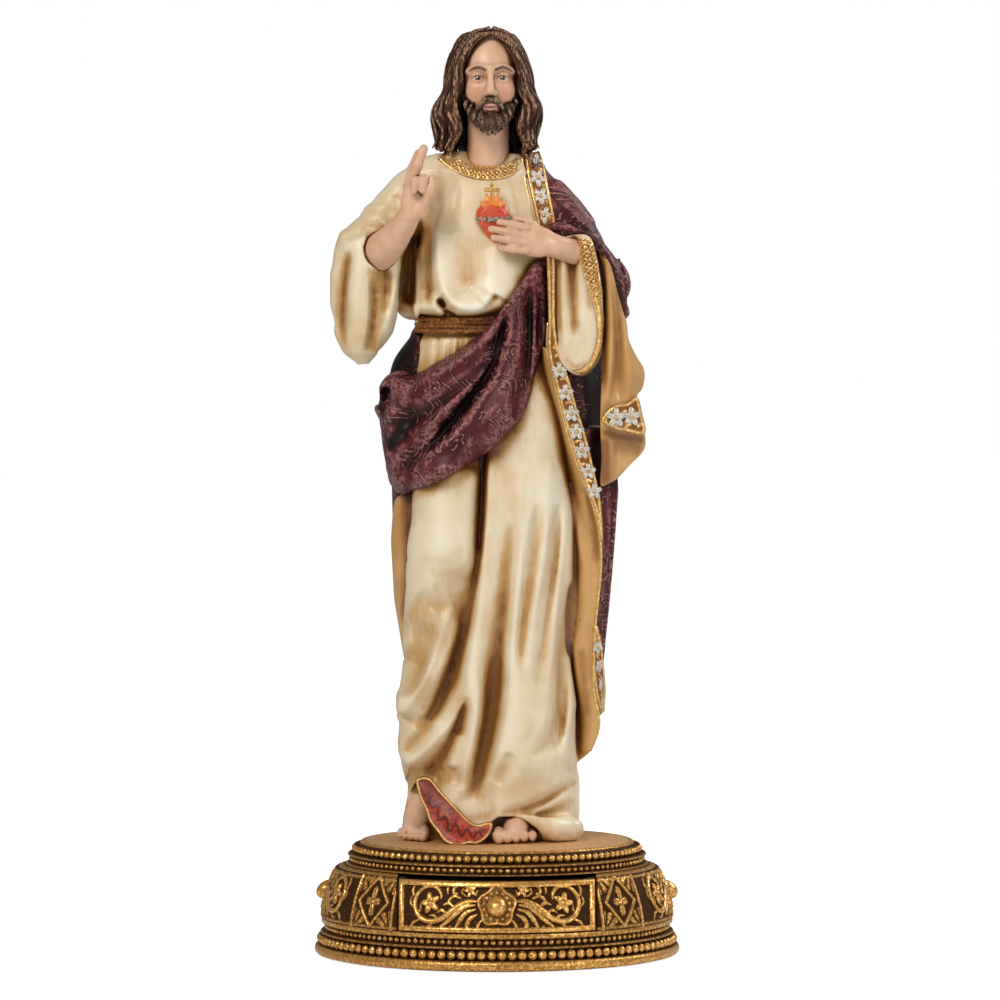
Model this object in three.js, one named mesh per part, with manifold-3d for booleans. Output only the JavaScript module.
// A sacred heart statuette, cast in resin and painted: a robed figure, right hand raised in blessing and
// left hand at the heart, on a round gilded plinth with a keepsake drawer. Millimetres, +Z up, -Y is the
// front. The origin is the centre of the plinth's underside.

import * as THREE from "three";
import { mergeVertices } from "three/addons/utils/BufferGeometryUtils.js";
import Module from "manifold-3d";

// The figure: its height, and how finely its free form is cut into facets.
const FIGURE_HEIGHT = 272;
const FIGURE_FACETS = 5100;

// The plinth, from the floor up: a rim, a row of beads, a fillet, a row of teeth, the drum, its sloping
// ledge, a second row of teeth, a fillet, a second row of beads and the lip of the top.
const FOOT_RADIUS = 61.3;
const FOOT_HEIGHT = 3.6;
const LOWER_BEAD = 1.7;
const LOWER_BEAD_INSET = 2.1;
const LOWER_FILLET = 1;
const LOWER_TEETH_HEIGHT = 2.6;
const TEETH_INSET = 1.1;
const DRUM_FOOT_RADIUS = 58.9;
const DRUM_SHOULDER_RADIUS = 53.6;
const DRUM_HEIGHT = 18.6;
const LEDGE_RISE = 1.6;
const UPPER_TEETH_RADIUS = 49.4;
const UPPER_TEETH_HEIGHT = 2;
const UPPER_FILLET = 1.2;
const UPPER_BEAD = 1.45;
const UPPER_BEAD_INSET = 1.6;
const LIP_HEIGHT = 1.1;
const TOP_RADIUS = 45.2;
const ROUND_STEPS = 36;

// The drawer in the front of the drum, with a shadow gap above its front.
const DRAWER_WIDTH = 64;
const DRAWER_FRONT_HEIGHT = 16.4;
const DRAWER_LENGTH = 62;
const DRAWER_RISE = 2;
const DRAWER_FRONT_WALL = 2.8;
const DRAWER_WALL = 2.2;
const DRAWER_FLOOR = 2;
const DRAWER_SIDE_CLEARANCE = 0.5;
const DRAWER_BACK_CLEARANCE = 1;
const DRAWER_FLOOR_CLEARANCE = 0.35;
const DRAWER_TOP_GAP = 1.3;

// The relief on the drum: four long panels with a boss, flowers and scrolls, and four lozenges between.
const BOSS_RADIUS = 3.2;
const FLOWER_RADIUS = 2.1;
const FLOWER_PLACE = 22.4;
const FRAME_WIDTH = 1.9;
const FRAME_RELIEF = 1.2;
const PANEL_MARGIN = 4.2;
const RELIEF_LIFT = 0.6;
const RELIEF_SINK = 0.3;
const SCROLL_WIDTH = 1.5;
const LOZENGE_HALF_WIDTH = 6.4;
const LOZENGE_HALF_HEIGHT = 6.3;
const LOZENGE_BAR = 1.1;
const LOZENGE_FLOWER = 1.7;

// What follows from these
const LOWER_BEADS_TOP = FOOT_HEIGHT + 2 * LOWER_BEAD;
const DRUM_LOW = LOWER_BEADS_TOP + LOWER_FILLET + LOWER_TEETH_HEIGHT;
const DRUM_TOP = DRUM_LOW + DRUM_HEIGHT;
const UPPER_TEETH_LOW = DRUM_TOP + LEDGE_RISE;
const UPPER_FILLET_LOW = UPPER_TEETH_LOW + UPPER_TEETH_HEIGHT;
const UPPER_BEADS_LOW = UPPER_FILLET_LOW + UPPER_FILLET;
const LIP_LOW = UPPER_BEADS_LOW + 2 * UPPER_BEAD;
const PLINTH_HEIGHT = LIP_LOW + LIP_HEIGHT;
const FRONT_LOW = DRUM_LOW + DRAWER_RISE;
const FRONT_HIGH = FRONT_LOW + DRAWER_FRONT_HEIGHT;
const DRAWER_BACK = DRAWER_LENGTH - DRUM_FOOT_RADIUS;
const PANEL_MIDDLE = (FRONT_LOW + FRONT_HIGH) / 2 + RELIEF_LIFT;

const wasm = await Module();
wasm.setup();

// Solids and meshes

function toSolid(geometry) {
  const bare = geometry.index ? geometry.toNonIndexed() : geometry.clone();
  bare.deleteAttribute("normal");
  bare.deleteAttribute("uv");
  const merged = mergeVertices(bare, 1e-4);
  return solidOf(merged.attributes.position.array, merged.index.array);
}

function solidOf(places, corners) {
  const vertProperties = new Float32Array(places);
  const triVerts = new Uint32Array(corners);
  return new wasm.Manifold(new wasm.Mesh({ numProp: 3, vertProperties, triVerts }));
}

function toGeometry(solid) {
  const mesh = solid.getMesh();
  const places = new Float32Array(mesh.numVert * 3);
  for (let i = 0; i < mesh.numVert; i++) {
    places.set(mesh.vertProperties.subarray(i * mesh.numProp, i * mesh.numProp + 3), i * 3);
  }
  const geometry = new THREE.BufferGeometry();
  geometry.setAttribute("position", new THREE.BufferAttribute(places, 3));
  geometry.setIndex(new THREE.BufferAttribute(new Uint32Array(mesh.triVerts), 1));
  geometry.computeVertexNormals();
  return geometry;
}

// A box given by its lowest and highest corners.
function block(low, high) {
  const geometry = new THREE.BoxGeometry(high[0] - low[0], high[1] - low[1], high[2] - low[2]);
  geometry.translate((low[0] + high[0]) / 2, (low[1] + high[1]) / 2, (low[2] + high[2]) / 2);
  return toSolid(geometry);
}

// A turned solid from a profile of [radius, height] points that starts and ends on the axis.
function turned(profile, steps = ROUND_STEPS) {
  const geometry = new THREE.LatheGeometry(
    profile.map(([radius, height]) => new THREE.Vector2(radius, height)),
    steps,
  );
  geometry.rotateX(Math.PI / 2);
  return toSolid(geometry);
}

// Clay: a distance field on a grid, which forms are blended into and cut out of

const FAR = 12;
const CLAY_PITCH = 1.4;

class Clay {
  constructor(low, high, pitch) {
    this.low = low;
    this.pitch = pitch;
    this.count = low.map((edge, axis) => Math.ceil((high[axis] - edge) / pitch) + 1);
    this.field = new Float32Array(this.count[0] * this.count[1] * this.count[2]).fill(FAR);
  }

  // Visits the grid points within reach of a form, and lets combine(before, distance) settle the new value.
  visit(form, reach, combine) {
    const first = [0, 1, 2].map((k) =>
      Math.max(0, Math.floor((form.low[k] - reach - this.low[k]) / this.pitch)),
    );
    const last = [0, 1, 2].map((k) =>
      Math.min(this.count[k] - 1, Math.ceil((form.high[k] + reach - this.low[k]) / this.pitch)),
    );
    const [nx, ny] = this.count;
    for (let k = first[2]; k <= last[2]; k++) {
      const z = this.low[2] + k * this.pitch;
      for (let j = first[1]; j <= last[1]; j++) {
        const y = this.low[1] + j * this.pitch;
        for (let i = first[0]; i <= last[0]; i++) {
          const at = (k * ny + j) * nx + i;
          const x = this.low[0] + i * this.pitch;
          this.field[at] = combine(this.field[at], form.distance(x, y, z));
        }
      }
    }
  }

  add(form, blend = 1) {
    this.visit(form, blend + 2 * this.pitch, (before, d) => {
      const h = Math.max(blend - Math.abs(before - d), 0) / blend;
      return Math.min(before, d) - (h * h * blend) / 4;
    });
  }

  carve(form, blend = 1) {
    this.visit(form, blend + 2 * this.pitch, (before, d) => {
      const h = Math.max(blend - Math.abs(before + d), 0) / blend;
      return Math.max(before, -d) + (h * h * blend) / 4;
    });
  }

  at(i, j, k) {
    return this.field[(k * this.count[1] + j) * this.count[0] + i];
  }

  // How far back the surface lies where one looks at the front at (x, h), or from the back if fromBack.
  surfaceDepth(x, h, fromBack = false) {
    const i = Math.round((x - this.low[0]) / this.pitch);
    const k = Math.round((h - this.low[2]) / this.pitch);
    const steps = this.count[1];
    for (let n = 1; n < steps; n++) {
      const j = fromBack ? steps - 1 - n : n;
      const before = this.at(i, fromBack ? j + 1 : j - 1, k);
      const here = this.at(i, j, k);
      if (here < 0) {
        const share = before / (before - here);
        return this.low[1] + (fromBack ? j + 1 - share : j - 1 + share) * this.pitch;
      }
    }
    return 0;
  }
}

// A rope of the given radii through the points, the form of a fold, a limb or a lock of hair.
function rope(points, radii, stepsPerSpan = 3) {
  const curve = new THREE.CatmullRomCurve3(points.map((p) => new THREE.Vector3(...p)));
  const steps = (points.length - 1) * stepsPerSpan;
  const path = Array.from({ length: steps + 1 }, (_, n) => curve.getPoint(n / steps).toArray());
  const thick = path.map((_, n) => {
    const place = (n / steps) * (radii.length - 1);
    const whole = Math.min(Math.floor(place), radii.length - 2);
    return radii.length === 1
      ? radii[0]
      : radii[whole] + (radii[whole + 1] - radii[whole]) * (place - whole);
  });
  const widest = Math.max(...radii);
  return {
    low: [0, 1, 2].map((k) => Math.min(...path.map((p) => p[k])) - widest),
    high: [0, 1, 2].map((k) => Math.max(...path.map((p) => p[k])) + widest),
    distance(x, y, z) {
      let nearest = Infinity;
      for (let n = 0; n < steps; n++) {
        const a = path[n];
        const b = path[n + 1];
        const ux = b[0] - a[0];
        const uy = b[1] - a[1];
        const uz = b[2] - a[2];
        const vx = x - a[0];
        const vy = y - a[1];
        const vz = z - a[2];
        const t = Math.min(
          1,
          Math.max(0, (vx * ux + vy * uy + vz * uz) / (ux * ux + uy * uy + uz * uz)),
        );
        const d =
          Math.hypot(vx - ux * t, vy - uy * t, vz - uz * t) - thick[n] - (thick[n + 1] - thick[n]) * t;
        if (d < nearest) nearest = d;
      }
      return nearest;
    },
  };
}

// An egg-shaped form, turned by degrees in the front plane.
function egg(centre, radii, turn = 0) {
  const [c, s] = [Math.cos((turn * Math.PI) / 180), Math.sin((turn * Math.PI) / 180)];
  const widest = Math.max(...radii);
  return {
    low: centre.map((v) => v - widest),
    high: centre.map((v) => v + widest),
    distance(x, y, z) {
      const dx = x - centre[0];
      const dz = z - centre[2];
      const px = c * dx + s * dz;
      const py = y - centre[1];
      const pz = c * dz - s * dx;
      const a = Math.hypot(px / radii[0], py / radii[1], pz / radii[2]);
      const b = Math.hypot(px / radii[0] ** 2, py / radii[1] ** 2, pz / radii[2] ** 2);
      return b === 0 ? -Math.min(...radii) : (a * (a - 1)) / b;
    },
  };
}

// An upright form of oval sections: [height, centre x, centre y, half width, half depth], lowest first.
function column(sections) {
  const curve = sections[0].map((_, k) => sections.map((row) => row[k]));
  const [heights, ...rest] = curve;
  const last = heights.length - 1;
  const section = (z) => {
    const h = Math.min(heights[last], Math.max(heights[0], z));
    let n = 0;
    while (n < last - 1 && heights[n + 1] < h) n++;
    const t = (h - heights[n]) / (heights[n + 1] - heights[n]);
    const ease = t * t * (3 - 2 * t) * 0.5 + t * 0.5;
    return rest.map((row) => row[n] + (row[n + 1] - row[n]) * ease);
  };
  return {
    low: [
      Math.min(...sections.map((r) => r[1] - r[3])),
      Math.min(...sections.map((r) => r[2] - r[4])),
      heights[0],
    ],
    high: [
      Math.max(...sections.map((r) => r[1] + r[3])),
      Math.max(...sections.map((r) => r[2] + r[4])),
      heights[last],
    ],
    distance(x, y, z) {
      const [cx, cy, rx, ry] = section(z);
      const across = (Math.hypot((x - cx) / rx, (y - cy) / ry) - 1) * Math.min(rx, ry);
      return Math.max(across, heights[0] - z, z - heights[last]);
    },
  };
}

// The figure, in millimetres of a figure 272 high: x to the right as seen from the front, y backwards,
// z up from the soles

const MODEL_HEIGHT = 272;

// A fold laid on the clay along a line of [x, height] points seen from the front: a rope sunk in the skin.
function fold(clay, line, radii, sink, fromBack) {
  const side = fromBack ? -1 : 1;
  return rope(
    line.map(([x, h]) => [x, clay.surfaceDepth(x, h, fromBack) + side * sink, h]),
    radii,
  );
}

function ridge(clay, line, radii, sink, blend = 2, fromBack = false) {
  clay.add(fold(clay, line, radii, sink, fromBack), blend);
}

function hollow(clay, line, radii, rise, blend = 1.5, fromBack = false) {
  clay.carve(fold(clay, line, radii, -rise, fromBack), blend);
}

function shapeRobe(clay) {
  const trunk = [
    [-5, -1.5, 6, 28, 21],
    [12, -1.5, 6, 28.5, 21.5],
    [30, -1.5, 6, 28.5, 21.5],
    [45, -2, 6, 28, 21],
    [60, -2, 6, 26.5, 20],
    [80, -3, 5, 26.5, 18.5],
    [100, -3, 4.5, 26.5, 17.5],
    [120, -3, 4, 26.5, 17],
    [140, -3, 3.5, 26, 16.5],
    [155, -3.5, 3, 24.5, 16],
    [165, -4, 2.5, 23, 15],
    [170, -4.5, 2, 21.5, 13],
    [175, -4.5, 2, 21.5, 13],
    [177, -4.5, 1.5, 23.5, 15],
    [184, -4.5, 1, 24.5, 15.5],
    [196, -4.5, 1, 24, 15],
    [206, -4, 1, 24, 14],
    [214, -4, 1.5, 24, 12.5],
    [221, -4, 2, 21.5, 10],
    [226.5, -3.5, 2.5, 15.5, 8.5],
    [230, -3, 3, 9, 7.5],
  ];
  clay.add(column(trunk), 2);
  // The bent right knee and the standing left leg under the cloth
  clay.add(rope([[-13, 0, 150], [-16, -7, 120], [-18, -9, 96]], [12, 10.5, 9.5]), 8);
  clay.add(rope([[-18, -8, 96], [-22, -2, 60], [-24, 2, 30]], [9.5, 8, 7.5]), 8);
  clay.add(rope([[8, 0, 140], [9, -4, 90], [8, -6, 30]], [12, 11, 11]), 10);
  // The blouse of the tunic over the belt, and its hem on the ground
  clay.add(
    rope([[-24, -8, 178], [-14, -13, 178], [-4, -13.5, 179], [4, -12, 182]], [3, 3.4, 3.4, 3]),
    4,
  );
  clay.add(rope([[3, -13, 8], [11, -14, 6], [19, -12, 3.5], [25, -5, 3.5]], [2.2, 3.2, 4, 4]), 2);
}

function foldRobe(clay) {
  // From the hip over the standing leg
  ridge(
    clay,
    [[0, 122], [-2, 100], [-3, 80], [-5, 60], [-8, 42], [-11, 28], [-14, 15]],
    [2.5, 3, 3, 3, 3.2, 2.6, 2],
    1.2,
  );
  ridge(
    clay,
    [[10, 122], [9, 100], [8.5, 82], [6.5, 66], [4.5, 50], [2, 36], [-1, 24], [-8, 12]],
    [2, 2.4, 2.4, 2.2, 2.2, 2, 1.8, 1.4],
    1,
  );
  ridge(
    clay,
    [[18, 118], [16, 96], [14, 76], [13, 58], [13.5, 42], [16, 30]],
    [2, 2.4, 2.6, 2.6, 2.2, 1.6],
    1,
  );
  ridge(clay, [[24, 58], [24.5, 44], [22.5, 30], [21, 19]], [1.2, 1.6, 1.6, 1.2], 0.6);
  // Round the bent knee and down the calf
  ridge(clay, [[-29, 94], [-27.5, 88], [-23, 86]], [1, 1.3, 0.8], 0.5);
  ridge(clay, [[-13, 84], [-17, 73], [-21, 63], [-25, 53], [-31, 43]], [1.2, 1.8, 2, 2, 1.8], 0.6);
  ridge(clay, [[-10, 66], [-13, 53], [-18, 41], [-25, 31], [-30, 25.5]], [2, 2.6, 2.6, 2, 1.4], 0.8);
  // The tunic's blouse, a pouch edged by one long fold
  ridge(
    clay,
    [[-20, 200], [-18.5, 188], [-15.5, 180], [-10, 177], [-4, 178], [-1, 184], [0, 192]],
    [1.2, 1.8, 1.8, 1.8, 1.8, 1.6, 1],
    0.6,
  );
  // Between the folds
  hollow(
    clay,
    [[-4.5, 128], [-5.5, 112], [-6.5, 97], [-8, 84], [-11, 74], [-15, 62], [-19, 50], [-25, 38]],
    [1.8, 2, 1.8, 1.6, 2.2, 2.6, 2.2, 1.6],
    0.2,
  );
  hollow(
    clay,
    [[-10.5, 50], [-13, 41], [-17.5, 31], [-22, 22], [-26, 18]],
    [1, 1.6, 1.8, 1.8, 1.6],
    0.2,
  );
  hollow(
    clay,
    [[1, 66], [-1.5, 50], [-4, 38], [-6.5, 27], [-10, 17], [-13, 12]],
    [1.4, 2.8, 3.4, 3.4, 3, 2],
    0.6,
  );
  hollow(clay, [[7, 106], [5, 92], [3.5, 78], [2, 66]], [1.5, 2.2, 2.2, 1.6], 0.9);
  hollow(clay, [[13.5, 104], [12, 88], [10, 70], [8, 56]], [1.2, 1.8, 1.8, 1.4], 0.9);
  hollow(clay, [[21, 100], [20, 80], [19.5, 62], [19.5, 48]], [1.2, 1.6, 1.6, 1.2], 0.9);
  hollow(clay, [[-23.5, 198], [-23.8, 188], [-23, 178]], [1.2, 1.8, 1.6], 0.4);
  hollow(clay, [[-19.5, 180], [-17, 178], [-14, 176.5]], [1.6, 1.8, 1.2], 0.2);
  hollow(clay, [[13, 9], [19, 12], [26, 19]], [0.8, 1, 0.8], 0.1);
  // Gathers under the belt
  for (let n = 0; n < 8; n++) {
    const x = -25 + 3.3 * n;
    ridge(clay, [[x, 169], [x - 0.6, 162], [x - 0.8, 156]], [1.1, 1.3, 0.8], 0.5, 1);
  }
  // The belt, and the place where the hem lifts over the right foot
  clay.add(column([[170.2, -4.5, 2, 22.6, 14.2], [175.2, -4.5, 2, 22.6, 14.2]]), 0.6);
  clay.carve(egg([-30, -10, 0], [15, 13, 17]), 1);
}

function shapeMantle(clay) {
  // Down the back, from the neck to just above the ground
  const back = [
    [22, 4, 14, 20, 12],
    [32, 4.5, 12.5, 27, 14.5],
    [45, 3.5, 12, 31, 16],
    [60, 3, 11.5, 33.5, 17.5],
    [80, 2.5, 11, 36, 18],
    [100, 2.5, 10, 37, 18],
    [120, 2.5, 9.5, 37.5, 18],
    [136, 1.5, 9, 38.5, 17.5],
    [150, 1, 8, 39, 17],
    [162, 1, 8, 36, 15.5],
    [173, 6, 8, 32, 14],
    [190, 10, 7, 31, 12.5],
    [205, 8, 6.5, 26, 11.5],
    [216, 3, 6, 21, 10],
    [226, 0, 6, 14, 7.5],
    [231, 0, 6.5, 9, 5],
  ];
  clay.add(column(back), 1.5);
  // Over the left shoulder and upper arm
  clay.add(
    rope([[9, 3, 219.5], [20, 2, 207.5], [30, -1, 195], [35, -2, 186]], [7.5, 9.5, 9.5, 9.5]),
    4,
  );
  clay.add(
    rope(
      [[21, -9, 202.5], [29, -11, 198.5], [36, -9, 192.5], [40, -5, 185], [41, -1, 176]],
      [2.5, 3.5, 4, 4, 3],
    ),
    3,
  );
  // The front edge that falls from under the sleeve to the hem, and the cloth behind it
  clay.add(
    rope(
      [[22, -5, 160], [26, -4, 135], [29, -1, 110], [28, 2, 80], [27, 4, 50], [28, 6, 34]],
      [7, 7, 7, 7, 6.5, 5],
    ),
    4,
  );
  clay.add(
    rope(
      [
        [17, -14, 165], [20, -13.5, 150], [24, -11.5, 135], [28.5, -9, 120], [32, -7, 106],
        [32.8, -5, 88], [31.5, -3, 68], [31.5, -2, 52], [32, 1, 38],
      ],
      [1.8, 2, 2.2, 2.4, 2.4, 2.2, 2, 2, 1.6],
    ),
    2.5,
  );
  // The lining that hangs from the forearm, with its turned corner
  const hanging = [
    [119, 36.5, -4, 2, 3],
    [126, 39, -5, 5, 4.5],
    [133, 41.5, -6, 7.5, 5],
    [137, 42, -6.5, 7, 5.5],
    [141, 41, -7, 6.5, 5],
    [148, 41, -7, 6, 4.5],
    [156, 42, -7, 6.5, 5],
    [168, 40, -7, 5, 5],
    [182, 38.5, -8, 3.6, 4.5],
    [196, 36, -8, 2.5, 3],
  ];
  clay.add(column(hanging), 1.5);
}

function foldMantle(clay) {
  // The swag from the right hip to the left hand: a cloth body, then great folds
  ridge(
    clay,
    [[8, 178], [3, 164], [-4, 152], [-14, 142], [-24, 135], [-30, 133]],
    [7, 9, 10, 10, 9.5, 8],
    7,
    3,
  );
  ridge(
    clay,
    [[14, 190], [6, 181], [0, 172], [-8, 163], [-18, 156], [-28, 150], [-36, 147]],
    [2.5, 3.5, 4.2, 4.8, 5.2, 5.2, 4.6],
    1.6,
    1.5,
  );
  ridge(
    clay,
    [[0, 159], [-8, 152], [-14, 146.5], [-21, 141], [-28, 134.5], [-33.5, 129]],
    [2, 2.8, 3, 3.2, 3.4, 2.8],
    0.8,
    1.5,
  );
  ridge(
    clay,
    [
      [14, 190], [8, 178], [6, 166], [3.5, 155], [-2, 145], [-9, 136.5], [-17, 129.5], [-26, 123.5],
      [-33, 120],
    ],
    [2.5, 3.4, 3.8, 4.6, 5.4, 5.2, 4.6, 3.6, 2.8],
    1.4,
    1.5,
  );
  ridge(
    clay,
    [[17, 190], [15, 176], [13.5, 165], [11.5, 155], [9, 146], [4, 138.5]],
    [2, 2.4, 2.6, 2.4, 2.2, 1.6],
    1.2,
    1.5,
  );
  // The dark gaps between them
  hollow(
    clay,
    [[5.5, 180], [2.5, 167], [-2, 157.5], [-7, 150], [-12, 143.5], [-17, 138], [-22, 131]],
    [1.2, 1.8, 2, 2, 2, 2, 1.4],
    0.2,
  );
  hollow(
    clay,
    [[-6, 156.5], [-14, 150], [-22, 144], [-30, 138.5], [-36, 134]],
    [0.9, 1.2, 1.4, 1.4, 1.4],
    0.1,
  );
  hollow(clay, [[12, 180], [11, 168], [10, 158], [8.5, 150]], [1, 1.2, 1.2, 1], 0.1);
  // The lining beside the robe, on both sides
  hollow(
    clay,
    [[15.5, 150], [19.5, 132], [23.8, 114], [25, 96], [24.5, 76], [25.5, 58], [27.5, 42], [29, 30]],
    [1.6, 2.2, 2.4, 2.4, 2.2, 2.2, 2, 1.4],
    0.4,
  );
  hollow(clay, [[-28.6, 118], [-29.4, 106], [-29, 95]], [1.6, 1.8, 1.2], 0.4);
  // The long folds and the gap of the hanging lining
  hollow(clay, [[33.6, 168], [32.6, 150], [32.6, 134], [33, 120]], [1.6, 2.4, 2.4, 1.6], 0.8);
  hollow(clay, [[38.5, 133], [43, 134], [48, 134.5]], [1.4, 1.8, 1.4], 0.4);
  // The hollow behind the swag's end, between the mantle and the hip
  clay.carve(rope([[-31, -14, 166], [-32, -4, 160], [-34, -6, 153]], [3.6, 4.6, 3.4]), 1.5);
  // Long folds down the back
  for (let n = 0; n < 6; n++) {
    const x = -24 + 10 * n;
    hollow(
      clay,
      [[x * 0.6, 196 - n], [x * 0.9, 140], [x, 90], [x * 0.92, 42]],
      [1, 2, 2.6, 2.2],
      0.6,
      1.5,
      true,
    );
  }
}

function shapeRightSleeve(clay) {
  clay.add(rope([[-20, 2, 217], [-32, 1, 208], [-42, -1, 197]], [9.5, 10.5, 11]), 4);
  const bag = [
    [159.5, -44.5, -3, 1.5, 2.5],
    [163, -45.3, -3, 5.5, 6],
    [170, -45, -3, 9.3, 9],
    [180, -44.7, -3, 11, 10.5],
    [190, -44.3, -3, 11.2, 11],
    [199, -43, -2.5, 10, 10.5],
  ];
  clay.add(column(bag), 3);
  ridge(clay, [[-45, 198], [-43.6, 188], [-42.4, 176], [-44, 164]], [1, 1.4, 1.4, 1], 0.4, 1);
  ridge(clay, [[-33.8, 196], [-34.2, 184], [-36, 172]], [1, 1.3, 1], 0.4, 1);
  hollow(clay, [[-48.5, 197], [-51.5, 184], [-51, 170]], [1.2, 2, 1.6], 0.3);
  hollow(clay, [[-38, 188], [-38.5, 178], [-41, 166]], [2.2, 2.2, 1.2], 0.4);
  // The mouth of the sleeve round the forearm
  clay.carve(rope([[-36, -22, 200], [-41, -8, 195]], [7, 6.4]), 0.8);
}

function shapeLeftSleeve(clay) {
  const bag = [
    [157.5, 26, -12, 3, 4],
    [161, 26, -12, 5.5, 5.5],
    [170, 27, -12, 7, 6.5],
    [182, 27, -12, 6.8, 7],
    [194, 26.5, -11.5, 6, 7.5],
    [201, 27.5, -11, 3.5, 6],
  ];
  clay.add(column(bag), 1);
  hollow(clay, [[24.3, 192], [25, 179], [26.5, 168]], [1.6, 1.8, 1.2], 0.1);
}

// A finger or toe through three joints.
function digit(clay, joints, thick) {
  clay.add(rope(joints, [thick, thick * 0.94, thick * 0.8]), 0.7);
}

function shapeHands(clay) {
  // The raised right hand: two fingers up, two bent, and the thumb
  clay.add(
    rope([[-44, -2, 193], [-37.5, -12, 198], [-32.3, -18, 203.5], [-29, -21.5, 208.5]], [6, 6, 5, 3.8]),
    1,
  );
  clay.add(egg([-27.4, -22.5, 213.8], [4.6, 3.1, 6.4], -10), 1.5);
  digit(clay, [[-28, -22.5, 219], [-26.3, -23, 225], [-24.2, -23, 230.5]], 1.9);
  digit(clay, [[-29.4, -21.6, 218], [-27.8, -21.2, 224], [-26, -20.8, 229]], 1.85);
  digit(clay, [[-25.2, -23, 218.4], [-24.2, -26.2, 220.4], [-24.6, -26.6, 216.5]], 1.75);
  digit(clay, [[-27.2, -23.5, 218], [-26.6, -26.6, 219.6], [-27, -26.8, 216]], 1.75);
  digit(clay, [[-25.4, -24, 210.5], [-22.6, -25.4, 215.4], [-21.2, -24.6, 220.4]], 1.9);
  // The left hand, flat below the heart
  clay.add(rope([[36, -6, 190], [27, -15.5, 196.5], [20, -18.4, 198.6]], [5.4, 4.6, 3.9]), 1);
  clay.add(egg([12.5, -18.6, 200.2], [8, 2.6, 5.3], -6), 1.5);
  const knuckles = [204.4, 202, 199.6, 197.2];
  const tips = [[1.2, 206.4], [-1.6, 204.2], [-0.8, 201.4], [1.6, 197.8]];
  knuckles.forEach((h, n) => {
    const [x, tip] = tips[n];
    digit(clay, [[9, -19.4, h], [(9 + x) / 2, -19.9, (h + tip) / 2], [x, -18.4, tip]], 1.4);
  });
  digit(clay, [[14, -17.6, 204], [9.5, -16.8, 206.8], [6, -16.4, 207.8]], 1.5);
}

function shapeHead(clay) {
  clay.add(rope([[-3.2, 3, 222], [-2.8, 1, 245]], [7.6, 7]), 2);
  clay.add(egg([-3.2, 1.5, 257.5], [11.8, 14.2, 14]), 1);
  clay.add(egg([-2, -5, 252], [8.8, 9.2, 12.5]), 2);
  clay.add(egg([-2, -8, 243.5], [6.6, 6.2, 6.6]), 2);
  // Eye hollows, nose, moustache and beard
  clay.carve(egg([-6, -14.8, 256.4], [2.6, 2, 1.9]), 1.2);
  clay.carve(egg([2, -14.8, 256.4], [2.6, 2, 1.9]), 1.2);
  clay.add(rope([[-2, -13.2, 259], [-2, -15, 254], [-2, -16.2, 251]], [0.9, 1.1, 1.5]), 1);
  clay.add(
    rope(
      [
        [-7, -11.4, 246.5], [-4.5, -13.8, 249], [-2, -14.6, 249.4], [0.5, -13.8, 249],
        [3, -11.4, 246.5],
      ],
      [1, 1.3, 1.2, 1.3, 1],
    ),
    0.6,
  );
  clay.add(egg([-2, -11, 241], [6, 4.6, 4.8]), 1.5);
  // The hair over the crown and nape, then locks on each side that wave down to the shoulders
  clay.add(egg([-3.5, 3.6, 257.5], [13.2, 13.6, 14.4]), 1);
  clay.add(egg([-3.6, 8, 243], [14, 8.5, 15]), 2);
  for (const side of [-1, 1]) {
    const wide = side < 0 ? 1.06 : 1;
    for (let n = 0; n < 5; n++) {
      const back = n * 3.4;
      const wave = side * 0.8 * (n % 2 ? 1 : -1);
      const lock = [
        [-3 + side * 1.5, -6 + back, 270 - n * 0.2],
        [-3.4 + side * (8.6 + n * 0.5) * wide, -7.5 + back, 264],
        [-3.4 + side * (11.8 + n * 0.4) * wide, -6.4 + back, 255],
        [-3.4 + side * (12.3 + n * 0.3) * wide + wave, -5.8 + back, 247],
        [-3.4 + side * (14 + n * 0.2) * wide - wave, -5.2 + back, 240],
        [-3.4 + side * (14.8 - n * 0.1) * wide + wave, -4.6 + back, 232.5],
      ];
      clay.add(rope(lock, [1.4, 2.3, 2.8, 3, 3, 2]), 0.5);
    }
  }
}

function shapeHeart(clay) {
  const depth = clay.surfaceDepth(-1.5, 206);
  clay.add(egg([-4.2, depth, 208.6], [3.1, 2, 4]), 0.5);
  clay.add(egg([1.2, depth, 208.6], [3.1, 2, 4]), 0.5);
  clay.add(rope([[-1.5, depth, 207], [-1.2, depth, 199]], [4.6, 1.2]), 0.5);
  clay.add(rope([[-1.5, depth, 212], [-1.5, depth, 216]], [2.6, 1.6]), 0.5);
  clay.add(rope([[-1.5, depth - 0.6, 214], [-1.5, depth - 0.6, 219]], [1]), 0.3);
}

function shapeFeet(clay) {
  clay.add(rope([[-26, 4, 12], [-27, 0, 7], [-28.5, -5, 3]], [4.6, 4.6, 3.8]), 1);
  for (let n = 0; n < 5; n++) {
    const x = -24.4 - n * 1.95;
    digit(
      clay,
      [[x, -5 + n * 0.5, 3], [x - 0.2, -9 + n * 0.9, 2.4], [x - 0.4, -11 + n * 1.2, 1.6]],
      2 - n * 0.16,
    );
  }
  clay.add(rope([[8, -4, 8], [7, -10, 5.5], [6, -14, 3.4]], [5, 5, 3.8]), 1);
  for (let n = 0; n < 5; n++) {
    const x = 0.6 + n * 2.8;
    digit(
      clay,
      [[x, -14 + n * 0.4, 3.4], [x, -18 + n * 0.8, 2.6], [x, -20 + n * 1.1, 1.7]],
      2.1 - n * 0.14,
    );
  }
}

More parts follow.
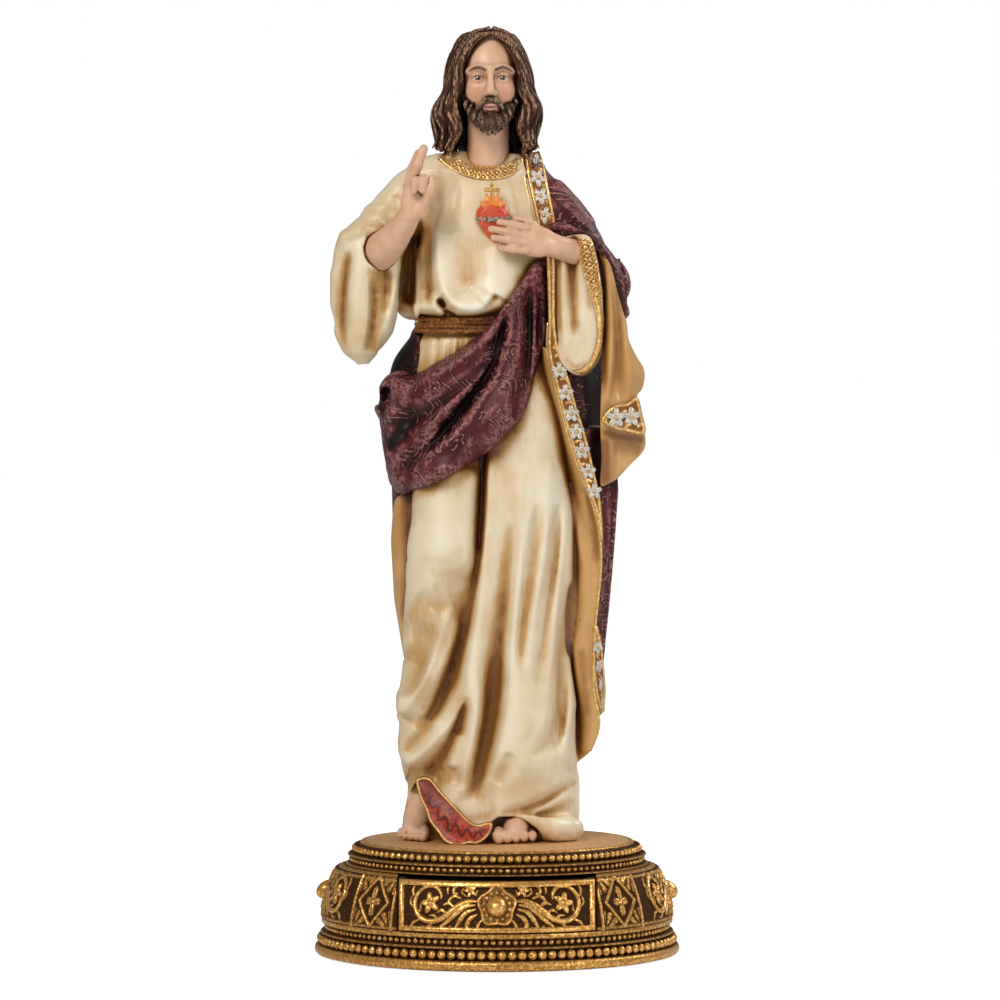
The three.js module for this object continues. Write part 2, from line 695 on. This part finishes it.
// Marching tetrahedra: the clay's surface as triangles, closed whatever the shape.
const CUBE = [[0, 0, 0], [1, 0, 0], [1, 1, 0], [0, 1, 0], [0, 0, 1], [1, 0, 1], [1, 1, 1], [0, 1, 1]];
const TETRAHEDRA = [[0, 5, 1, 6], [0, 1, 2, 6], [0, 2, 3, 6], [0, 3, 7, 6], [0, 7, 4, 6], [0, 4, 5, 6]];

function skin(clay) {
  const [nx, ny, nz] = clay.count;
  const total = nx * ny * nz;
  const numbers = new Map();
  const points = [];
  const faces = [];
  const place = (index) => {
    const i = index % nx;
    const j = Math.floor(index / nx) % ny;
    const k = Math.floor(index / (nx * ny));
    return [i, j, k].map((n, axis) => clay.low[axis] + n * clay.pitch);
  };
  // The point where the surface crosses the line between two grid points
  const crossing = (a, b) => {
    const key = a < b ? a * total + b : b * total + a;
    if (!numbers.has(key)) {
      const t = clay.field[a] / (clay.field[a] - clay.field[b]);
      const share = Math.min(0.95, Math.max(0.05, t));
      const pa = place(a);
      const pb = place(b);
      numbers.set(key, points.length);
      points.push(pa.map((v, axis) => v + (pb[axis] - v) * share));
    }
    return numbers.get(key);
  };
  for (let k = 0; k < nz - 1; k++) {
    for (let j = 0; j < ny - 1; j++) {
      for (let i = 0; i < nx - 1; i++) {
        const corners = CUBE.map(([di, dj, dk]) => ((k + dk) * ny + j + dj) * nx + i + di);
        const inside = corners.filter((c) => clay.field[c] < 0).length;
        if (inside === 0 || inside === 8) continue;
        for (const tetrahedron of TETRAHEDRA) {
          const four = tetrahedron.map((n) => corners[n]);
          const ins = four.filter((c) => clay.field[c] < 0);
          const outs = four.filter((c) => clay.field[c] >= 0);
          if (!ins.length || !outs.length) continue;
          const loop =
            ins.length === 2
              ? [[0, 0], [0, 1], [1, 1], [1, 0]].map(([a, b]) => crossing(ins[a], outs[b]))
              : ins.flatMap((a) => outs.map((b) => crossing(a, b)));
          // Turn the loop so that its face looks from the inside out
          const [p, q, r] = loop.map((n) => new THREE.Vector3(...points[n]));
          const outward = new THREE.Vector3(...place(outs[0])).sub(new THREE.Vector3(...place(ins[0])));
          const flip = q.clone().sub(p).cross(r.clone().sub(p)).dot(outward) < 0;
          const turned = flip ? loop.slice().reverse() : loop;
          for (let n = 1; n < turned.length - 1; n++) faces.push([turned[0], turned[n], turned[n + 1]]);
        }
      }
    }
  }
  return { points, faces };
}

// Joining points in order of least harm, until so many triangles are left: each point carries the planes
// it must stay near, and a join that would fold the skin or pinch it is passed over.
class Queue {
  constructor() {
    this.items = [];
  }

  push(item) {
    const items = this.items;
    let n = items.push(item) - 1;
    while (n > 0) {
      const parent = (n - 1) >> 1;
      if (items[parent].cost <= item.cost) break;
      items[n] = items[parent];
      n = parent;
    }
    items[n] = item;
  }

  pop() {
    const items = this.items;
    const top = items[0];
    const item = items.pop();
    let n = 0;
    while (items.length && 2 * n + 1 < items.length) {
      let child = 2 * n + 1;
      if (child + 1 < items.length && items[child + 1].cost < items[child].cost) child++;
      if (items[child].cost >= item.cost) break;
      items[n] = items[child];
      n = child;
    }
    if (items.length) items[n] = item;
    return top;
  }
}

function faceNormal(a, b, c) {
  const [ux, uy, uz] = [b[0] - a[0], b[1] - a[1], b[2] - a[2]];
  const [vx, vy, vz] = [c[0] - a[0], c[1] - a[1], c[2] - a[2]];
  return [uy * vz - uz * vy, uz * vx - ux * vz, ux * vy - uy * vx];
}

// The ten numbers of the squared distance to a plane, weighted by area.
function planeError(a, b, c) {
  const n = faceNormal(a, b, c);
  const size = Math.hypot(...n) || 1e-12;
  const [x, y, z] = n.map((v) => v / size);
  const d = -(x * a[0] + y * a[1] + z * a[2]);
  return [x * x, x * y, x * z, x * d, y * y, y * z, y * d, z * z, z * d, d * d].map((v) => v * size);
}

function errorAt(q, [x, y, z]) {
  return (
    q[0] * x * x + 2 * q[1] * x * y + 2 * q[2] * x * z + 2 * q[3] * x +
    q[4] * y * y + 2 * q[5] * y * z + 2 * q[6] * y + q[7] * z * z + 2 * q[8] * z + q[9]
  );
}

// The point where the error is least, or null where the planes leave it open.
function leastError(q) {
  const c00 = q[4] * q[7] - q[5] * q[5];
  const c01 = q[2] * q[5] - q[1] * q[7];
  const c02 = q[1] * q[5] - q[2] * q[4];
  const det = q[0] * c00 + q[1] * c01 + q[2] * c02;
  if (Math.abs(det) < 1e-6 * (q[0] + q[4] + q[7]) ** 3) return null;
  const c11 = q[0] * q[7] - q[2] * q[2];
  const c12 = q[1] * q[2] - q[0] * q[5];
  const c22 = q[0] * q[4] - q[1] * q[1];
  return [
    -(c00 * q[3] + c01 * q[6] + c02 * q[8]) / det,
    -(c01 * q[3] + c11 * q[6] + c12 * q[8]) / det,
    -(c02 * q[3] + c12 * q[6] + c22 * q[8]) / det,
  ];
}

function simplify({ points, faces }, target) {
  const rings = points.map(() => new Set());
  const errors = points.map(() => new Array(10).fill(0));
  const stamps = new Int32Array(points.length);
  faces.forEach((face, f) => {
    const e = planeError(...face.map((n) => points[n]));
    for (const n of face) {
      rings[n].add(f);
      for (let k = 0; k < 10; k++) errors[n][k] += e[k];
    }
  });
  const neighbours = (n) => {
    const near = new Set();
    for (const f of rings[n]) for (const m of faces[f]) if (m !== n) near.add(m);
    return near;
  };
  const queue = new Queue();
  const offer = (a, b) => {
    const q = errors[a].map((v, k) => v + errors[b][k]);
    const middle = points[a].map((v, k) => (v + points[b][k]) / 2);
    const span = Math.hypot(...points[a].map((v, k) => v - points[b][k]));
    const best = leastError(q);
    const close = best && Math.hypot(...best.map((v, k) => v - middle[k])) < 1.5 * span;
    const to = close ? best : middle;
    queue.push({ cost: errorAt(q, to) + 1e-4 * span, a, b, to, sa: stamps[a], sb: stamps[b] });
  };
  points.forEach((_, a) => {
    for (const b of neighbours(a)) if (a < b) offer(a, b);
  });
  let left = faces.length;
  while (left > target && queue.items.length) {
    const { a, b, to, sa, sb } = queue.pop();
    if (sa !== stamps[a] || sb !== stamps[b]) continue;
    const nearA = neighbours(a);
    const nearB = neighbours(b);
    if ([...nearA].filter((n) => nearB.has(n)).length !== 2) continue;
    const folds = [a, b].some((end) =>
      [...rings[end]].some((f) => {
        const face = faces[f];
        if (face.includes(a) && face.includes(b)) return false;
        const before = faceNormal(...face.map((n) => points[n]));
        const after = faceNormal(...face.map((n) => (n === end ? to : points[n])));
        const dot = before[0] * after[0] + before[1] * after[1] + before[2] * after[2];
        return dot < 0.25 * Math.hypot(...before) * Math.hypot(...after);
      }),
    );
    if (folds) continue;
    for (const f of [...rings[b]]) {
      if (faces[f].includes(a)) {
        for (const n of faces[f]) rings[n].delete(f);
        faces[f] = null;
        left--;
      } else {
        faces[f] = faces[f].map((n) => (n === b ? a : n));
        rings[a].add(f);
      }
    }
    rings[b].clear();
    points[a] = to;
    for (let k = 0; k < 10; k++) errors[a][k] += errors[b][k];
    stamps[a]++;
    stamps[b] = -1;
    for (const n of neighbours(a)) offer(a, n);
  }
  const kept = faces.filter((face) => face);
  const numbers = new Map();
  for (const face of kept) for (const n of face) if (!numbers.has(n)) numbers.set(n, numbers.size);
  return {
    points: [...numbers.keys()].map((n) => points[n]),
    faces: kept.map((face) => face.map((n) => numbers.get(n))),
  };
}

// The figure's solid: the clay's skin, cut off level where it stands, and the one body that stands there.
function figureSolid() {
  const clay = new Clay([-62, -34, -8], [58, 36, 277], CLAY_PITCH);
  shapeRobe(clay);
  foldRobe(clay);
  shapeMantle(clay);
  foldMantle(clay);
  shapeHead(clay);
  shapeRightSleeve(clay);
  shapeLeftSleeve(clay);
  shapeHeart(clay);
  shapeHands(clay);
  shapeFeet(clay);
  const mesh = simplify(skin(clay), FIGURE_FACETS);
  const scale = FIGURE_HEIGHT / MODEL_HEIGHT;
  const places = mesh.points.map(([x, y, z]) => [x * scale, y * scale, z * scale + PLINTH_HEIGHT]);
  const above = PLINTH_HEIGHT + 2 * FIGURE_HEIGHT;
  const wide = FIGURE_HEIGHT;
  const ground = block([-wide, -wide, PLINTH_HEIGHT], [wide, wide, above]);
  const standing = solidOf(places.flat(), mesh.faces.flat()).intersect(ground);
  return standing.decompose().reduce((most, body) => (body.volume() > most.volume() ? body : most));
}

// The plinth and drawer

// The drum's radius at a height, swelling a little below its shoulder.
function drumRadius(z) {
  const t = Math.min(1, Math.max(0, (z - DRUM_LOW) / DRUM_HEIGHT));
  return DRUM_FOOT_RADIUS + (DRUM_SHOULDER_RADIUS - DRUM_FOOT_RADIUS) * t ** 1.9;
}

function drumProfile(out, low, high, steps = 3) {
  const wall = Array.from({ length: steps + 1 }, (_, n) => {
    const z = low + ((high - low) * n) / steps;
    return [drumRadius(z) + out, z];
  });
  return [[0, low], ...wall, [0, high]];
}

// A row of beads, as the half-round moulding that they stand on.
function moulding(radius, low, bead) {
  return [-90, -30, 30, 90].map((angle) => {
    const a = (angle * Math.PI) / 180;
    return [radius + bead * Math.cos(a), low + bead + bead * Math.sin(a)];
  });
}

function plinthProfile() {
  const lowerTeeth = DRUM_FOOT_RADIUS - TEETH_INSET;
  return [
    [0, 0],
    [FOOT_RADIUS - LOWER_BEAD_INSET, 0],
    [FOOT_RADIUS, FOOT_HEIGHT / 2],
    [FOOT_RADIUS - LOWER_BEAD_INSET / 3, FOOT_HEIGHT * 0.95],
    ...moulding(FOOT_RADIUS - LOWER_BEAD_INSET, FOOT_HEIGHT, LOWER_BEAD),
    [DRUM_FOOT_RADIUS, LOWER_BEADS_TOP + LOWER_FILLET * 0.1],
    [DRUM_FOOT_RADIUS, LOWER_BEADS_TOP + LOWER_FILLET * 0.9],
    [lowerTeeth, LOWER_BEADS_TOP + LOWER_FILLET],
    [lowerTeeth, DRUM_LOW - LOWER_FILLET * 0.1],
    ...drumProfile(0, DRUM_LOW, DRUM_TOP).slice(1, -1),
    [UPPER_TEETH_RADIUS, UPPER_TEETH_LOW],
    [UPPER_TEETH_RADIUS, UPPER_FILLET_LOW],
    [UPPER_TEETH_RADIUS + UPPER_BEAD / 3, UPPER_FILLET_LOW + UPPER_FILLET * 0.1],
    [UPPER_TEETH_RADIUS + UPPER_BEAD / 3, UPPER_BEADS_LOW - UPPER_FILLET * 0.1],
    ...moulding(UPPER_TEETH_RADIUS - UPPER_BEAD_INSET, UPPER_BEADS_LOW, UPPER_BEAD),
    [TOP_RADIUS + LIP_HEIGHT / 2, LIP_LOW + LIP_HEIGHT * 0.1],
    [TOP_RADIUS, PLINTH_HEIGHT],
    [0, PLINTH_HEIGHT],
  ];
}

// A place on the drum: radians round from the front, height, and how far out.
function onDrum(angle, z, out) {
  const r = drumRadius(z) + out;
  return new THREE.Vector3(r * Math.sin(angle), -r * Math.cos(angle), z);
}

// A stem of relief on the drum, through [millimetres along the wall, height] points, tapering to its ends.
function stem(facing, line, width, steps, sides = 3) {
  const curve = new THREE.CatmullRomCurve3(line.map(([u, z]) => new THREE.Vector3(u, z, 0)));
  const rings = [];
  for (let n = 0; n <= steps; n++) {
    const p = curve.getPoint(n / steps);
    const q = curve.getTangent(n / steps);
    const thick = (width / 2) * (0.55 + 0.45 * Math.sin((Math.PI * n) / steps));
    const ring = [];
    for (let m = 0; m < sides; m++) {
      const a = (2 * Math.PI * m) / sides;
      const across = thick * Math.sin(a);
      const angle = facing + (p.x - q.y * across) / DRUM_FOOT_RADIUS;
      ring.push(onDrum(angle, p.y + q.x * across, thick * Math.cos(a) - RELIEF_SINK));
    }
    rings.push(ring);
  }
  const places = [];
  const face = (a, b, c) => places.push(...a.toArray(), ...b.toArray(), ...c.toArray());
  for (let n = 0; n < steps; n++) {
    for (let m = 0; m < sides; m++) {
      const k = (m + 1) % sides;
      face(rings[n][m], rings[n + 1][k], rings[n][k]);
      face(rings[n][m], rings[n + 1][m], rings[n + 1][k]);
    }
  }
  for (let m = 1; m < sides - 1; m++) {
    face(rings[0][0], rings[0][m], rings[0][m + 1]);
    face(rings[steps][0], rings[steps][m + 1], rings[steps][m]);
  }
  const geometry = new THREE.BufferGeometry();
  geometry.setAttribute("position", new THREE.Float32BufferAttribute(places, 3));
  return toSolid(geometry);
}

// A round knob of relief, sunk by three quarters of its radius.
function boss(facing, along, radius, wide, high) {
  const geometry = new THREE.SphereGeometry(radius, wide, high);
  const angle = facing + along / DRUM_FOOT_RADIUS;
  geometry.translate(...onDrum(angle, PANEL_MIDDLE, 0.25 * radius).toArray());
  return toSolid(geometry);
}

// A long panel: a boss, and on each side an arm that runs down and out and curls up round a flower.
function panelRelief(facing) {
  const reach = DRAWER_WIDTH / 2 - PANEL_MARGIN;
  const rise = DRAWER_FRONT_HEIGHT / 2 - FRAME_WIDTH;
  const pieces = [boss(facing, 0, BOSS_RADIUS, 8, 5)];
  for (const side of [-1, 1]) {
    const out = (rows) => rows.map(([u, z]) => [side * u * reach, PANEL_MIDDLE + z * rise]);
    const arm = out([[0.11, -0.5], [0.36, -0.9], [0.72, -0.85], [0.97, -0.2], [0.9, 0.6], [0.7, 0.65]]);
    const leaf = out([[0.09, 0.5], [0.32, 0.7], [0.5, 0.1], [0.65, -0.5]]);
    pieces.push(stem(facing, arm, SCROLL_WIDTH, 8));
    pieces.push(stem(facing, leaf, SCROLL_WIDTH, 4));
    pieces.push(boss(facing, side * FLOWER_PLACE, FLOWER_RADIUS, 5, 4));
  }
  return pieces;
}

// A lozenge of four bars with a small flower in it.
function lozengeRelief(facing) {
  const [reach, rise] = [LOZENGE_HALF_WIDTH, LOZENGE_HALF_HEIGHT];
  const corners = [[reach, 0], [0, rise], [-reach, 0], [0, -rise]];
  const pieces = corners.map(([u, z], n) => {
    const [v, w] = corners[(n + 1) % 4];
    return stem(facing, [[u, PANEL_MIDDLE + z], [v, PANEL_MIDDLE + w]], LOZENGE_BAR, 1);
  });
  return [...pieces, boss(facing, 0, LOZENGE_FLOWER, 5, 4)];
}

function plinthSolid() {
  const quarter = Math.PI / 2;
  const half = DRAWER_WIDTH / 2 + DRAWER_SIDE_CLEARANCE;
  const pocket = block(
    [-half, -2 * FOOT_RADIUS, FRONT_LOW - DRAWER_FLOOR_CLEARANCE],
    [half, DRAWER_BACK + DRAWER_BACK_CLEARANCE, FRONT_HIGH + DRAWER_TOP_GAP],
  );
  const relief = [1, 2, 3].flatMap((n) => panelRelief(n * quarter));
  relief.push(...[0.5, 1.5, 2.5, 3.5].flatMap((n) => lozengeRelief(n * quarter)));
  return relief.reduce((solid, piece) => solid.add(piece), turned(plinthProfile())).subtract(pocket);
}

// The drawer: a front with the drum's curve and a raised frame, and an open tray behind it.
function drawerSolid() {
  const half = DRAWER_WIDTH / 2;
  const ahead = -2 * FOOT_RADIUS;
  const slab = (inset) =>
    block([inset - half, ahead, FRONT_LOW + inset], [half - inset, 0, FRONT_HIGH - inset]);
  const skinned = (out) => turned(drumProfile(out, FRONT_LOW - 1, FRONT_HIGH + 1));
  const whole = block([-half, ahead, FRONT_LOW], [half, DRAWER_BACK, FRONT_HIGH]);
  const frame = skinned(FRAME_RELIEF).intersect(slab(0)).subtract(slab(FRAME_WIDTH)).subtract(
    skinned(-1),
  );
  const hollow = block(
    [DRAWER_WALL - half, ahead, FRONT_LOW + DRAWER_FLOOR],
    [half - DRAWER_WALL, DRAWER_BACK - DRAWER_WALL, FRONT_HIGH + 0.5],
  );
  const front = panelRelief(0).reduce(
    (solid, piece) => solid.add(piece),
    skinned(0).intersect(whole).add(frame),
  );
  return front.subtract(skinned(-DRAWER_FRONT_WALL).intersect(hollow));
}

// The part

function node(name, solid, colour, roughness, metalness = 0) {
  const material = new THREE.MeshStandardMaterial({ color: colour, roughness, metalness });
  const mesh = new THREE.Mesh(toGeometry(solid), material);
  mesh.name = name;
  return mesh;
}

const statue = new THREE.Group();
statue.name = "sacred_heart_statue";
statue.add(
  node("figure", figureSolid(), 0xe3d6bd, 0.55),
  node("plinth", plinthSolid(), 0xa8823f, 0.4, 0.7),
  node("drawer", drawerSolid(), 0xb08a45, 0.4, 0.7),
);

export default statue;
